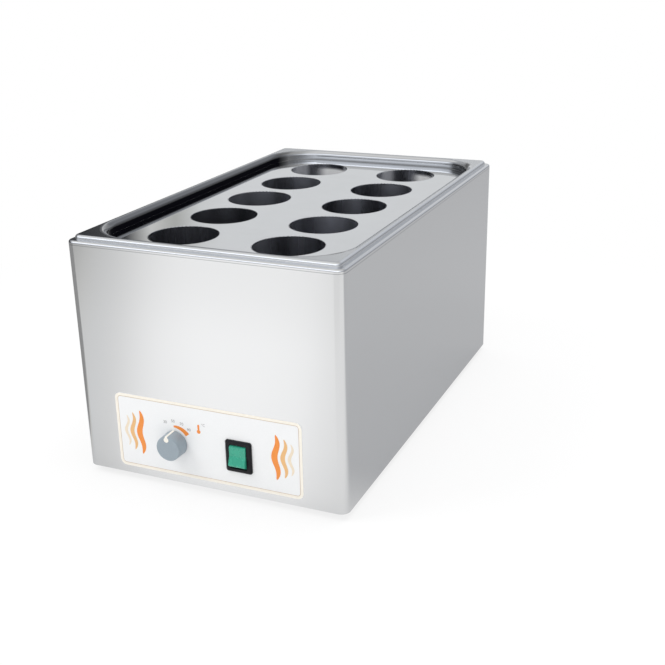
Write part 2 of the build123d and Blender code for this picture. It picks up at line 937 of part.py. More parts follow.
# ---------------------------------------------------------------- cut-out, block, earth and gland
def safety_cutout():
    """Bimetal cut-out held against the tank's underside by its strap."""
    body = upright(cutout_across, cutout_along, cutout_radius, tank_under - cutout_length, tank_under)
    body += bar(
        cutout_across,
        cutout_along,
        tank_under - cutout_strap_sheet / 2,
        cutout_strap_width,
        cutout_strap_depth,
        cutout_strap_sheet,
    )
    for x, y in cutout_stud_places:
        hole_low = tank_under - cutout_strap_sheet - overcut
        body -= upright(x, y, cutout_stud_radius + thread_clearance, hole_low, tank_under + overcut)
    for side in (-1, 1):
        x = cutout_across + side * cutout_tab_pitch / 2
        z = tank_under - cutout_length - tab_length / 2
        body += bar(x, cutout_along, z, tab_sheet, tab_width, tab_length)
    return body


block_front = block_along - block_length / 2
block_top = base_top + block_height
block_wire_height = base_top + block_wire_up
block_screw_seat = block_top - block_well_depth
block_screw_tip = block_wire_height + block_bore_radius + block_screw_tip_gap


def terminal_block():
    """Moulded block with blind wire holes at its front and screw wells in its top."""
    block = bar(
        block_across, block_along, base_top + block_height / 2, block_width, block_length, block_height
    )
    block += bar(
        block_across,
        block_along,
        base_top + block_ear_height / 2,
        block_fixing_pitch + 2 * block_ear,
        block_ear_length,
        block_ear_height,
    )
    for x, y in block_pole_places:
        head_hole = block_screw_head_radius + thread_clearance
        block -= upright(x, y, head_hole, block_screw_seat, block_top + overcut)
        block -= upright(x, y, block_screw_radius + thread_clearance, block_screw_tip, block_top)
        wire_end = block_front + block_wire_depth
        block -= along_y(x, block_wire_height, block_bore_radius, block_front - overcut, wire_end)
    ear_top = base_top + block_ear_height
    for x, y in block_fixing_places:
        hole_radius = block_fixing_radius + hole_clearance
        block -= upright(x, y, hole_radius, base_top - overcut, ear_top + overcut)
    return block


def terminal_screws():
    """Slotted brass screws of the block's poles."""
    screws = []
    for x, y in block_pole_places:
        head_top = block_screw_seat + block_screw_head
        screw = upright(x, y, block_screw_head_radius, block_screw_seat, head_top)
        screw += upright(x, y, block_screw_radius, block_screw_tip, block_screw_seat)
        slot_length = 2 * (block_screw_head_radius + overcut)
        screws.append(screw - bar(x, y, head_top, slot_length, block_screw_slot, block_screw_head))
    return screws


def block_fixings():
    """Pan-head screws through the block's ears into the base plate."""
    screws = []
    ear_top = base_top + block_ear_height
    for x, y in block_fixing_places:
        head_top = ear_top + block_fixing_head
        head = upright(x, y, block_fixing_head_radius, ear_top, head_top)
        head = chamfer(edges_at(head, head_top), block_fixing_head * head_edge_share)
        recess_low = head_top - block_fixing_head * cross_depth_share
        head -= cross_recess(x, y, block_fixing_head_radius, recess_low, head_top + overcut)
        tip = foot_height - block_fixing_tail
        screws.append(head + upright(x, y, block_fixing_radius, tip, ear_top))
    return screws


def earth_stud():
    """Stud pressed into the base plate from below."""
    head = upright(earth_across, earth_along, earth_head_radius, foot_height - earth_head, foot_height)
    return head + upright(
        earth_across, earth_along, earth_stud_radius, foot_height, base_top + earth_stud_height
    )


earth_ring_low = base_top + earth_nut_height
earth_ring_high = earth_ring_low + earth_ring_sheet


def earth_nuts():
    """Two nuts that clamp the earth lead's ring."""
    nuts = []
    for low in (base_top, earth_ring_high):
        nut = hexagon_up(earth_across, earth_along, earth_nut_across, low, low + earth_nut_height)
        hole_radius = earth_stud_radius + thread_clearance
        hole_high = low + earth_nut_height + overcut
        nuts.append(nut - upright(earth_across, earth_along, hole_radius, low - overcut, hole_high))
    return nuts


gland_outer_end = back_face + gland_hex_length + gland_cap_length


def cable_gland_body():
    """Threaded body of the cable gland, its hexagon against the back."""
    body = along_y(
        gland_across, gland_height, gland_thread_radius, back_inside - gland_thread_inside, back_face
    )
    hex_end = back_face + gland_hex_length
    body += hexagon_along_y(gland_across, gland_height, gland_hex_across, back_face, hex_end)
    outer = hex_end + gland_thread_outside
    body += along_y(gland_across, gland_height, gland_thread_radius, hex_end, outer)
    inner = back_inside - gland_thread_inside
    return body - along_y(gland_across, gland_height, gland_bore_radius, inner - overcut, outer + overcut)


def cable_gland_locknut():
    """Flat nut on the gland's thread, inside the back."""
    near = back_inside - gland_nut_length
    nut = hexagon_along_y(gland_across, gland_height, gland_hex_across, near, back_inside)
    hole_radius = gland_thread_radius + thread_clearance
    return nut - along_y(gland_across, gland_height, hole_radius, near - overcut, back_inside + overcut)


def cable_gland_cap():
    """Domed cap nut that squeezes the seal."""
    near = back_face + gland_hex_length
    cap = hexagon_along_y(gland_across, gland_height, gland_hex_across, near, gland_outer_end)
    dome = along_y(gland_across, gland_height, gland_hex_across / 2, near, gland_outer_end)
    cap = cap & fillet(edges_facing(dome, gland_outer_end), gland_dome)
    inner_end = gland_outer_end - gland_cap_lip
    hole_radius = gland_thread_radius + thread_clearance
    cap -= along_y(gland_across, gland_height, hole_radius, near - overcut, inner_end)
    return cap - along_y(gland_across, gland_height, gland_bore_radius, near, gland_outer_end + overcut)


def cable_gland_seal():
    """Rubber ring in the mouth of the gland."""
    inner_end = gland_outer_end - gland_cap_lip
    near = back_face + gland_hex_length
    ring = along_y(gland_across, gland_height, gland_bore_radius, near, inner_end)
    return ring - along_y(gland_across, gland_height, cord_hole_radius, near - overcut, inner_end + overcut)


# ---------------------------------------------------------------- internal leads
lead_height = base_top + lead_radius + lead_lift
thermostat_tab_end = thermostat_back + tab_length
switch_tab_end = barrel_back + tab_length
cutout_tab_end = tank_under - cutout_length - tab_length
pin_end = element_front - element_pin_length
riser_y = thermostat_tab_end + 2 * lead_bend
pin_riser_y = pin_end - lead_past_pins


def supply_lead(pole, side, setback):
    """Lead from one pole of the block, along the base and up to a lower tab of the switch."""
    x = block_pole_places[pole][0]
    tab_x = switch_across + side * switch_tab_across
    tab_z = switch_height - switch_tab_up
    turn_y = riser_y + setback
    points = [
        (x, block_front + lead_in_block, block_wire_height),
        (x, block_front - lead_straight_at_block, block_wire_height),
        (x, block_front - lead_straight_at_block - lead_settle, lead_height),
        (x, turn_y, lead_height),
        (tab_x, turn_y, lead_height),
        (tab_x, riser_y, lead_height),
        (tab_x, riser_y, tab_z),
        (tab_x, switch_tab_end, tab_z),
    ]
    return round_path(lead_radius, points, lead_bend)


def lead_switch_live():
    """Live lead to the switch."""
    return supply_lead(0, -1, lead_live_setback)


def lead_switch_neutral():
    """Neutral lead to the switch."""
    return supply_lead(1, 1, lead_neutral_setback)


def lead_switch_thermostat():
    """From the switch's upper live tab to the thermostat's nearer tab."""
    from_x = switch_across - switch_tab_across
    from_z = switch_height + switch_tab_up
    to_x = knob_across + thermostat_tab_pitch / 2
    crossing = from_z + lead_over_thermostat
    points = [
        (from_x, switch_tab_end, from_z),
        (from_x, riser_y, from_z),
        (from_x, riser_y, crossing),
        (to_x, riser_y, crossing),
        (to_x, riser_y, knob_height),
        (to_x, thermostat_tab_end, knob_height),
    ]
    return round_path(lead_radius, points, lead_bend)


def lead_thermostat_cutout():
    """From the thermostat's further tab up to the safety cut-out."""
    from_x = knob_across - thermostat_tab_pitch / 2
    to_x = cutout_across - cutout_tab_pitch / 2
    crossing = cutout_tab_end - lead_under_cutout
    points = [
        (from_x, thermostat_tab_end, knob_height),
        (from_x, cutout_along, knob_height),
        (from_x, cutout_along, crossing),
        (to_x, cutout_along, crossing),
        (to_x, cutout_along, cutout_tab_end),
    ]
    return round_path(lead_radius, points, lead_bend)


def lead_cutout_element():
    """From the cut-out to the right-hand pin of the heating tube."""
    from_x = cutout_across + cutout_tab_pitch / 2
    pin_x = element_ends()[1][0]
    crossing = cutout_tab_end - lead_beside_cutout
    points = [
        (from_x, cutout_along, cutout_tab_end),
        (from_x, cutout_along, crossing),
        (pin_x, pin_riser_y, crossing),
        (pin_x, pin_riser_y, element_middle),
        (pin_x, pin_end, element_middle),
    ]
    return round_path(lead_radius, points, lead_bend)


def lead_element_neutral():
    """From the switch's upper neutral tab to the left-hand pin of the heating tube."""
    from_x = switch_across + switch_tab_across
    from_z = switch_height + switch_tab_up
    pin_x = element_ends()[0][0]
    behind_tabs = switch_tab_end + lead_behind_tabs
    crossing = from_z + lead_over_switch
    points = [
        (from_x, switch_tab_end, from_z),
        (from_x, behind_tabs, from_z),
        (from_x, behind_tabs, crossing),
        (pin_x, behind_tabs, crossing),
        (pin_x, pin_riser_y, crossing),
        (pin_x, pin_riser_y, element_middle),
        (pin_x, pin_end, element_middle),
    ]
    return round_path(lead_radius, points, lead_bend)


def lead_earth():
    """From the block's third pole to the earth stud, with its ring terminal."""
    x = block_pole_places[2][0]
    ring_middle = (earth_ring_low + earth_ring_high) / 2
    points = [
        (x, block_front + lead_in_block, block_wire_height),
        (x, block_front - lead_settle, block_wire_height),
        (earth_across, block_front - lead_settle, ring_middle),
        (earth_across, earth_along - earth_ring_radius, ring_middle),
    ]
    lead = round_path(lead_radius, points, lead_bend)
    ring = upright(earth_across, earth_along, earth_ring_radius, earth_ring_low, earth_ring_high)
    hole_radius = earth_stud_radius + thread_clearance
    ring -= upright(
        earth_across, earth_along, hole_radius, earth_ring_low - overcut, earth_ring_high + overcut
    )
    tongue_start = earth_along - earth_ring_radius - earth_tongue
    tongue_end = earth_along - hole_radius - earth_ring_sheet
    tongue = bar(
        earth_across,
        (tongue_start + tongue_end) / 2,
        ring_middle,
        earth_tongue_width,
        tongue_end - tongue_start,
        earth_ring_sheet,
    )
    return lead + ring + tongue


# ---------------------------------------------------------------- every piece, written one by one
pieces = {
    "outer_casing": outer_casing(),
    "base_plate": base_plate(),
    "base_screws": base_screws(),
    "rubber_feet": rubber_feet(),
    "foot_screws": foot_screws(),
    "foot_nuts": foot_nuts(),
    "water_tank": water_tank(),
    "tank_studs": tank_studs(),
    "stud_nuts": stud_nuts(),
    "heating_element": heating_element(),
    "element_pins": element_pins(),
    "clamp_plate": clamp_plate(),
    "insulation_pad": insulation_pad(),
    "heater_cover": heater_cover(),
    "thermostat_body": thermostat_body(),
    "thermostat_nut": thermostat_nut(),
    "thermostat_shaft": thermostat_shaft(),
    "thermostat_bulb": thermostat_bulb(),
    "control_knob": control_knob(),
    "knob_pointer": knob_pointer(),
    "switch_housing": switch_housing(),
    "switch_rocker": switch_rocker(),
    "switch_lamp": switch_lamp(),
    "front_label": front_label(),
    "bottle_tray": bottle_tray(),
    "safety_cutout": safety_cutout(),
    "terminal_block": terminal_block(),
    "terminal_screws": terminal_screws(),
    "block_fixings": block_fixings(),
    "earth_stud": earth_stud(),
    "earth_nuts": earth_nuts(),
    "cable_gland_body": cable_gland_body(),
    "cable_gland_locknut": cable_gland_locknut(),
    "cable_gland_cap": cable_gland_cap(),
    "cable_gland_seal": cable_gland_seal(),
    "lead_switch_live": lead_switch_live(),
    "lead_switch_neutral": lead_switch_neutral(),
    "lead_switch_thermostat": lead_switch_thermostat(),
    "lead_thermostat_cutout": lead_thermostat_cutout(),
    "lead_cutout_element": lead_cutout_element(),
    "lead_element_neutral": lead_element_neutral(),
    "lead_earth": lead_earth(),
}
for number, (x, y) in enumerate(well_places, start=1):
    pieces[f"bottle_well_{number:02d}"] = bottle_well(x, y)

os.makedirs("parts", exist_ok=True)
for name, shape in pieces.items():
    solids = Compound(children=shape) if isinstance(shape, list) else shape
    export_step(solids, f"parts/{name}.step")
    print(name, round(solids.volume))
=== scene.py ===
import math

import bmesh
import bpy
from mathutils import Matrix, Vector


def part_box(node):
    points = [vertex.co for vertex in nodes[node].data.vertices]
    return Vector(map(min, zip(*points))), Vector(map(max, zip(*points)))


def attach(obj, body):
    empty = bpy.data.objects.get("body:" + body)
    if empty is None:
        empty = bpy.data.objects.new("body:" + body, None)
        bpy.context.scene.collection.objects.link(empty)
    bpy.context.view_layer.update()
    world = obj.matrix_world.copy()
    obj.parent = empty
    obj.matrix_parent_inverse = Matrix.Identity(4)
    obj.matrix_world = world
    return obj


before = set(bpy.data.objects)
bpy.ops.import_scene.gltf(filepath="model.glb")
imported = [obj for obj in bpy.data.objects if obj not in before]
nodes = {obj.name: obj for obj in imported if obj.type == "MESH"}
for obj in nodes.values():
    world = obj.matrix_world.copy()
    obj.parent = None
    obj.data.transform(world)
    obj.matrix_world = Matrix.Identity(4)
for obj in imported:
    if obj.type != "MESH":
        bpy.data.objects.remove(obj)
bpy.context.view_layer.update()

# ------------------------------------------------------------------ camera
# A long lens to the right of the warmer and above it, turned a degree about its own axis. It is aimed
# at a spot inside the casing, from which azimuth, elevation and distance are measured.
camera_azimuth = math.radians(23.637)
camera_elevation = math.radians(20.675)
camera_roll = math.radians(-1.121)
camera_aim = Vector((0.04988, -0.0345, 0.12404))
camera_distance = 1.4
camera_data = bpy.data.cameras.new("camera")
camera_data.sensor_width = 36
camera_data.lens = 56.248
camera_data.clip_start = 0.01
camera = bpy.data.objects.new("camera", camera_data)
bpy.context.scene.collection.objects.link(camera)
bpy.context.scene.camera = camera
backward = Vector(
    (
        math.sin(camera_azimuth) * math.cos(camera_elevation),
        -math.cos(camera_azimuth) * math.cos(camera_elevation),
        math.sin(camera_elevation),
    )
)
level = (-backward).cross(Vector((0, 0, 1))).normalized()
upward = backward.cross(level)
across = level * math.cos(camera_roll) + upward * math.sin(camera_roll)
upright = upward * math.cos(camera_roll) - level * math.sin(camera_roll)
camera.matrix_world = Matrix.Translation(camera_aim + backward * camera_distance) @ Matrix(
    (across, upright, backward)
).transposed().to_4x4()

# ------------------------------------------------------------------ studio
# A pale table, a white room and soft lamps. Metal mirrors the room's bright walls and its darker gaps,
# set by the turn round the room (0.25 is left of the warmer, 0.5 behind it) and by the height.
bpy.context.scene.view_settings.view_transform = "Standard"
walls_foot = (
    (0.00, 0.52),
    (0.15, 0.42),
    (0.19, 0.08),
    (0.215, 0.03),
    (0.40, 0.04),
    (0.41, 0.30),
    (0.53, 0.35),
    (0.578, 0.30),
    (0.68, 0.25),
    (0.80, 0.25),
    (0.90, 0.50),
)
walls_low = (
    (0.00, 0.82),
    (0.15, 0.62),
    (0.19, 0.16),
    (0.215, 0.10),
    (0.30, 0.08),
    (0.405, 0.05),
    (0.4062, (0.60, 0.60, 0.59)),
    (0.4070, (0.96, 0.96, 0.97)),
    (0.4092, (0.96, 0.96, 0.96)),
    (0.4102, (0.42, 0.425, 0.41)),
    (0.4122, (0.46, 0.465, 0.445)),
    (0.4140, (0.66, 0.67, 0.675)),
    (0.416, (0.71, 0.722, 0.735)),
    (0.485, (0.71, 0.722, 0.735)),
    (0.53, 0.65),
    (0.564, 0.55),
    (0.578, 0.42),
    (0.68, 0.38),
    (0.80, 0.50),
    (0.90, 0.80),
)
walls_high = (
    (0.00, 1.9),
    (0.15, 1.6),
    (0.22, 0.4),
    (0.30, 0.3),
    (0.42, 0.45),
    (0.49, 0.55),
    (0.545, 0.75),
    (0.566, 0.75),
    (0.58, 0.5),
    (0.68, 0.4),
    (0.80, 0.8),
    (0.92, 1.9),
)
ceiling = (
    (0.00, 0.85),
    (0.25, 0.8),
    (0.42, 0.6),
    (0.60, 0.5),
    (0.80, 0.8),
    (1.00, 0.85),
)
skirting_rise = ((0.13, 0.0), (0.18, 1.0))
rail_rise = ((0.38, 0.0), (0.46, 1.0))
cove_rise = ((0.60, 0.0), (0.75, 1.0))
room_grey = (0.85, 0.85, 0.85, 1)
white = (1, 1, 1, 1)
black = (0, 0, 0, 1)


def link(material, source, target):
    """Joins two sockets of a node tree."""
    material.node_tree.links.new(source, target)


def calculate(material, operation, first, second=None, third=None):
    """One Math node; numbers are set on its sockets and sockets are joined."""
    step = material.node_tree.nodes.new("ShaderNodeMath")
    step.operation = operation
    for socket, value in zip(step.inputs, (first, second, third)):
        if isinstance(value, bpy.types.NodeSocket):
            link(material, value, socket)
        elif value is not None:
            socket.default_value = value
    return step.outputs[0]


def share_across(material, distance, per_metre):
    """A distance to either side of a middle, as a share of which 0.5 is the middle."""
    return calculate(material, "MULTIPLY_ADD", distance, per_metre, 0.5)


def ramp(material, factor, stops, mode="LINEAR"):
    """Color ramp over (place, grey or colour) stops."""
    step = material.node_tree.nodes.new("ShaderNodeValToRGB")
    step.color_ramp.interpolation = mode
    points = step.color_ramp.elements
    while len(points) < len(stops):
        points.new(0.5)
    for point, (place, shade) in zip(points, stops):
        point.position = place
        point.color = (*shade, 1) if isinstance(shade, tuple) else (shade, shade, shade, 1)
    link(material, factor, step.inputs[0])
    return step.outputs[0]


def blend_colours(material, factor, first, second):
    """Mix node for two colours."""
    step = material.node_tree.nodes.new("ShaderNodeMix")
    step.data_type = "RGBA"
    for socket, value in zip((step.inputs[0], step.inputs[6], step.inputs[7]), (factor, first, second)):
        if isinstance(value, bpy.types.NodeSocket):
            link(material, value, socket)
        else:
            socket.default_value = value
    return step.outputs[2]


def cooled(stops):
    """The same stops, with each grey turned to the faint blue of daylight on a wall."""
    return tuple(
        (place, shade if isinstance(shade, tuple) else (shade * 0.95, shade * 0.985, shade * 1.06))
        for place, shade in stops
    )


room = bpy.data.worlds.new("white_room")
bpy.context.scene.world = room
room.use_nodes = True
room_light = room.node_tree.nodes["Background"]
direction = room.node_tree.nodes.new("ShaderNodeTexCoord").outputs["Generated"]
parts = room.node_tree.nodes.new("ShaderNodeSeparateXYZ")
link(room, direction, parts.inputs[0])
turn = calculate(room, "ARCTAN2", parts.outputs["X"], parts.outputs["Y"])
turn = calculate(room, "MULTIPLY_ADD", turn, 0.5 / math.pi, 0.5)
mirrored = ramp(room, turn, cooled(walls_foot))
for rise, higher in (
    (skirting_rise, cooled(walls_low)),
    (rail_rise, cooled(walls_high)),
    (cove_rise, ceiling),
):
    height_share = ramp(room, parts.outputs["Z"], rise, "EASE")
    mirrored = blend_colours(room, height_share, mirrored, ramp(room, turn, higher))
rays = room.node_tree.nodes.new("ShaderNodeLightPath")
soft = blend_colours(room, rays.outputs["Is Glossy Ray"], room_grey, mirrored)
room_colour = blend_colours(room, rays.outputs["Is Camera Ray"], soft, white)
link(room, room_colour, room_light.inputs["Color"])

# The metal mirrors the table in bands of tone that run forward and leftward from the front wall.
table_size = 12
table_mirror_share = 0.8
front_wall = -0.29
left_lean = 0.64
right_lean = 0.4
front_bands = (
    (0.00, 0.10),
    (0.03, 0.22),
    (0.06, (0.49, 0.485, 0.46)),
    (0.10, (0.56, 0.555, 0.53)),
    (0.15, (0.60, 0.605, 0.61)),
    (0.20, (0.63, 0.64, 0.65)),
    (0.252, 0.70),
    (0.308, 0.84),
    (0.356, 0.96),
    (0.42, 1.04),
    (0.50, 1.10),
)
right_bands = ((0.55, 1.0), (0.70, 0.96), (0.755, 0.87), (0.79, 0.82), (0.83, 0.76))
depth_bands = ((0.02, 0.93), (0.15, 0.98), (0.45, 1.0), (0.70, 0.92))
rear_bands = ((0.60, 0.10), (0.75, (0.40, 0.405, 0.42)))
behind_rise = ((0.15, 0.0), (0.35, 1.0))
white_rise = ((0.50, 0.78), (0.95, 1.0))
bpy.ops.mesh.primitive_plane_add(size=table_size)
table = bpy.context.object
table.name = "table"
table_top = bpy.data.materials.new("table_white")
table_top.use_nodes = True
table.data.materials.append(table_top)
table_nodes = table_top.node_tree.nodes
table_surface = table_nodes["Principled BSDF"]
table_surface.inputs["Base Color"].default_value = (0.90, 0.90, 0.90, 1)
table_surface.inputs["Roughness"].default_value = 0.8
place = table_nodes.new("ShaderNodeTexCoord").outputs["Object"]
spot = table_nodes.new("ShaderNodeSeparateXYZ")
link(table_top, place, spot.inputs[0])
ahead = calculate(table_top, "SUBTRACT", front_wall, spot.outputs["Y"])
leftward = calculate(table_top, "MULTIPLY_ADD", ahead, left_lean, spot.outputs["X"])
front_tone = ramp(table_top, share_across(table_top, leftward, 1.6), front_bands)
rightward = calculate(table_top, "MULTIPLY_ADD", ahead, right_lean, spot.outputs["X"])
right_fade = ramp(table_top, share_across(table_top, rightward, 2.0), right_bands)
front_tone = blend_colours(table_top, right_fade, black, front_tone)
front_tone = blend_colours(table_top, ramp(table_top, ahead, depth_bands), black, front_tone)
behind = share_across(table_top, spot.outputs["Y"], 1.0)
behind = ramp(table_top, behind, behind_rise, "EASE")
from_far_left = calculate(table_top, "MULTIPLY_ADD", spot.outputs["X"], 1.0, 1.0)
rear_tone = ramp(table_top, from_far_left, rear_bands, "EASE")
mirror_tone = blend_colours(table_top, behind, front_tone, rear_tone)
table_rays = table_nodes.new("ShaderNodeLightPath")
camera_ray = table_rays.outputs["Is Camera Ray"]
glossy_ray = table_rays.outputs["Is Glossy Ray"]
glow = table_nodes.new("ShaderNodeEmission")
link(table_top, blend_colours(table_top, glossy_ray, white, mirror_tone), glow.inputs["Color"])
# Close to the warmer the table keeps its shadow, and further out it fades to plain white.
from_middle = table_nodes.new("ShaderNodeVectorMath")
from_middle.operation = "LENGTH"
link(table_top, place, from_middle.inputs[0])
white_share = ramp(table_top, from_middle.outputs["Value"], white_rise, "EASE")
seen = calculate(table_top, "MULTIPLY", camera_ray, white_share)
mirrored_share = calculate(table_top, "MULTIPLY", glossy_ray, table_mirror_share)
seen = calculate(table_top, "MAXIMUM", seen, mirrored_share)
table_mix = table_nodes.new("ShaderNodeMixShader")
link(table_top, seen, table_mix.inputs[0])
link(table_top, table_surface.outputs[0], table_mix.inputs[1])
link(table_top, glow.outputs[0], table_mix.inputs[2])
link(table_top, table_mix.outputs[0], table_nodes["Material Output"].inputs["Surface"])

# Two soft square lamps aim at the middle of the casing, and the metal doesn't mirror them.
lamp_middle = Vector((0, 0, 0.15))
for name, spot_at, size, power in (
    ("lamp_left", (-1.1, -1.0, 1.7), 1.0, 14),
    ("lamp_top", (0.4, 0.3, 2.2), 1.4, 18),
):
    lamp_data = bpy.data.lights.new(name, "AREA")
    lamp_data.size = size
    lamp_data.energy = power
    lamp = bpy.data.objects.new(name, lamp_data)
    lamp.location = spot_at
    lamp.rotation_euler = (lamp_middle - lamp.location).to_track_quat("-Z", "Y").to_euler()
    lamp.visible_glossy = False
    bpy.context.scene.collection.objects.link(lamp)

# ------------------------------------------------------------------ outer casing
# One sheet of satin stainless steel, folded to four walls with a rolled shoulder and an inward shelf
# that carries the tray. The walls are brushed level, and the front is punched for knob and switch.
casing_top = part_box("outer_casing")[1].z
# The painted reflection line under the shoulder: its drop below the top, half its width, its strength
# and its grey.
painted_shoulder_reflection_drop = 0.0049
painted_shoulder_reflection_half = 0.0005
painted_shoulder_reflection_strength = 0.45
painted_shoulder_reflection_grey = (0.25, 0.26, 0.28)


def surface(name, colour, darker, roughness, grain, relief, metallic=0.0):
    """Material whose colour, roughness and relief follow one noise drawn out along the axes.

    darker is the share that the colour drops by, roughness its low and high, grain the noise's
    frequency along X, Y and Z, and relief the height of its ridges in metres.
    """
    material = bpy.data.materials.new(name)
    material.use_nodes = True
    tree = material.node_tree.nodes
    shader = tree["Principled BSDF"]
    shader.inputs["Metallic"].default_value = metallic
    stretch = tree.new("ShaderNodeMapping")
    stretch.inputs["Scale"].default_value = grain
    link(material, tree.new("ShaderNodeTexCoord").outputs["Object"], stretch.inputs["Vector"])
    texture = tree.new("ShaderNodeTexNoise")
    texture.inputs["Scale"].default_value = 1.0
    texture.inputs["Detail"].default_value = 3.0
    link(material, stretch.outputs["Vector"], texture.inputs["Vector"])
    fibre = texture.outputs["Fac"]
    low = tuple(value * (1 - darker) for value in colour)
    link(material, ramp(material, fibre, ((0.3, low), (0.7, colour))), shader.inputs["Base Color"])
    sheen = ramp(material, fibre, ((0.3, roughness[0]), (0.7, roughness[1])))
    link(material, sheen, shader.inputs["Roughness"])
    ridges = tree.new("ShaderNodeBump")
    ridges.inputs["Strength"].default_value = 0.6
    ridges.inputs["Distance"].default_value = relief
    link(material, fibre, ridges.inputs["Height"])
    link(material, ridges.outputs["Normal"], shader.inputs["Normal"])
    return material


def dress(material, *names):
    """Gives CAD pieces their material."""
    for name in names:
        finishes = nodes[name].data.materials
        finishes.clear()
        finishes.append(material)


def tint(material, share, colour):
    """Mixes one more colour into what feeds the material's base colour."""
    base = material.node_tree.nodes["Principled BSDF"].inputs["Base Color"]
    before = base.links[0].from_socket
    link(material, blend_colours(material, share, before, (*colour, 1)), base)


def coordinates(material):
    """The X, Y and Z sockets of the piece's own coordinates."""
    apart = material.node_tree.nodes.new("ShaderNodeSeparateXYZ")
    own = material.node_tree.nodes.new("ShaderNodeTexCoord").outputs["Object"]
    link(material, own, apart.inputs[0])
    return apart.outputs


satin_steel = surface(
    "satin_steel", (0.80, 0.805, 0.81), 0.015, (0.13, 0.17), (4, 4, 1500), 0.0000015, metallic=1.0
)
# A fine dark line just under the shoulder is painted reflection: it stands in for the dark band that the
# rolled shoulder mirrors.
casing_up = coordinates(satin_steel)["Z"]
painted_shoulder_reflection = calculate(satin_steel, "SUBTRACT", casing_up, casing_top - painted_shoulder_reflection_drop)
painted_shoulder_reflection = calculate(satin_steel, "ABSOLUTE", painted_shoulder_reflection)
painted_shoulder_reflection = calculate(satin_steel, "LESS_THAN", painted_shoulder_reflection, painted_shoulder_reflection_half)
painted_shoulder_reflection = calculate(satin_steel, "MULTIPLY", painted_shoulder_reflection, painted_shoulder_reflection_strength)
tint(satin_steel, painted_shoulder_reflection, painted_shoulder_reflection_grey)
dress(satin_steel, "outer_casing")

# ------------------------------------------------------------------ base plate, its screws and the feet
# A stainless plate with two banks of vent slots closes the casing from below. Zinc plated screws hold
# it, and four moulded rubber feet are screwed through it with nuts inside.
mill_steel = surface(
    "mill_steel", (0.74, 0.74, 0.75), 0.05, (0.26, 0.32), (8, 8, 300), 0.0000003, metallic=1.0
)
dress(mill_steel, "base_plate")
bright_zinc = surface(
    "bright_zinc", (0.66, 0.66, 0.67), 0.12, (0.20, 0.32), (700, 700, 700), 0.000006, metallic=1.0
)
dress(bright_zinc, "base_screws", "foot_screws", "foot_nuts")
black_rubber = surface(
    "black_rubber", (0.034, 0.033, 0.032), 0.35, (0.62, 0.82), (500, 500, 500), 0.00003
)
dress(black_rubber, "rubber_feet")

# ------------------------------------------------------------------ front label
# A printed polyester film with rounded corners, stuck to the front over the two punched holes. It is
# white with a cream margin, and its print is screened on in thin coats of ink.
label_low, label_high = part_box("front_label")
label_middle = (label_low + label_high) / 2
label_width = label_high.x - label_low.x
label_height = label_high.z - label_low.z
label_corner = 0.008
corner_steps = 10
margin_insets = (0.0002, 0.0036)
border_insets = (0.0037, 0.0043)
ink_level = label_low.y - 0.00005
white_film = surface("white_film", (0.87, 0.878, 0.885), 0.03, (0.30, 0.42), (900, 900, 900), 0.000004)
dress(white_film, "front_label")


def ink(name, colour):
    """Screened ink: even, a little rougher than the film, with the faint speckle of its mesh."""
    return surface(name, colour, 0.08, (0.42, 0.55), (1600, 1600, 1600), 0.000003)


def printed(name, faces, colour):
    """Flat ink on the label; each face is a loop of (across, up) points in metres."""
    flat = bmesh.new()
    for loop in faces:
        flat.faces.new([flat.verts.new((across, ink_level, up)) for across, up in loop])
    bmesh.ops.remove_doubles(flat, verts=flat.verts, dist=0.0000005)
    mesh = bpy.data.meshes.new(name)
    flat.to_mesh(mesh)
    flat.free()
    mesh.materials.append(colour)
    piece = bpy.data.objects.new(name, mesh)
    bpy.context.scene.collection.objects.link(piece)
    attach(piece, "casing")
    return piece


def band(outer, inner, closed=False):
    """Faces between two rows of points."""
    count = len(outer) if closed else len(outer) - 1
    after = [(step + 1) % len(outer) for step in range(len(outer))]
    return [
        (outer[step], outer[after[step]], inner[after[step]], inner[step]) for step in range(count)
    ]


def label_outline(inset):
    """Loop of points parallel to the label's edge, counterclockwise from the lower right corner."""
    corner = label_corner - inset
    half_width = label_width / 2 - inset - corner
    half_height = label_height / 2 - inset - corner
    points = []
    for side, end, start in ((1, -1, 270), (1, 1, 0), (-1, 1, 90), (-1, -1, 180)):
        for step in range(corner_steps + 1):
            turn = math.radians(start + 90 * step / corner_steps)
            points.append(
                (
                    label_middle.x + side * half_width + corner * math.cos(turn),
                    label_middle.z + end * half_height + corner * math.sin(turn),
                )
            )
    return points


cream_ink = ink("cream_ink", (0.95, 0.90, 0.80))
tan_ink = ink("tan_ink", (0.62, 0.47, 0.34))
for name, (outer_inset, inner_inset), colour in (
    ("label_margin", margin_insets, cream_ink),
    ("label_border", border_insets, tan_ink),
):
    printed(name, band(label_outline(outer_inset), label_outline(inner_inset), True), colour)

# ------------------------------------------------------------------ heat ribbons on the label
# Two groups of three wavy bands, as of rising warmth, fill the label's ends. They are screened in
# orange, light orange and sand, the broadest one nearest to the controls.
ribbon_height = 0.058
ribbon_steps = 40
ribbon_sway = 0.0022
ribbon_bends = 3
ribbon_tip_half = 0.00003
orange_ink = ink("orange_ink", (0.90, 0.29, 0.050))
light_orange_ink = ink("light_orange_ink", (0.84, 0.50, 0.22))
sand_ink = ink("sand_ink", (0.86, 0.74, 0.58))


def ribbon(name, across, half_width, share_of_height, colour):
    """One upright wavy band that tapers to both ends."""
    right = []
    left = []
    for step in range(ribbon_steps + 1):
        along = step / ribbon_steps
        up = label_middle.z + (along - 0.5) * ribbon_height * share_of_height
        middle = across + ribbon_sway * math.sin(along * ribbon_bends * math.pi)
        half = half_width * math.sqrt(math.sin(math.pi * along)) + ribbon_tip_half
        right.append((middle + half, up))
        left.append((middle - half, up))
    printed(name, band(right, left), colour)


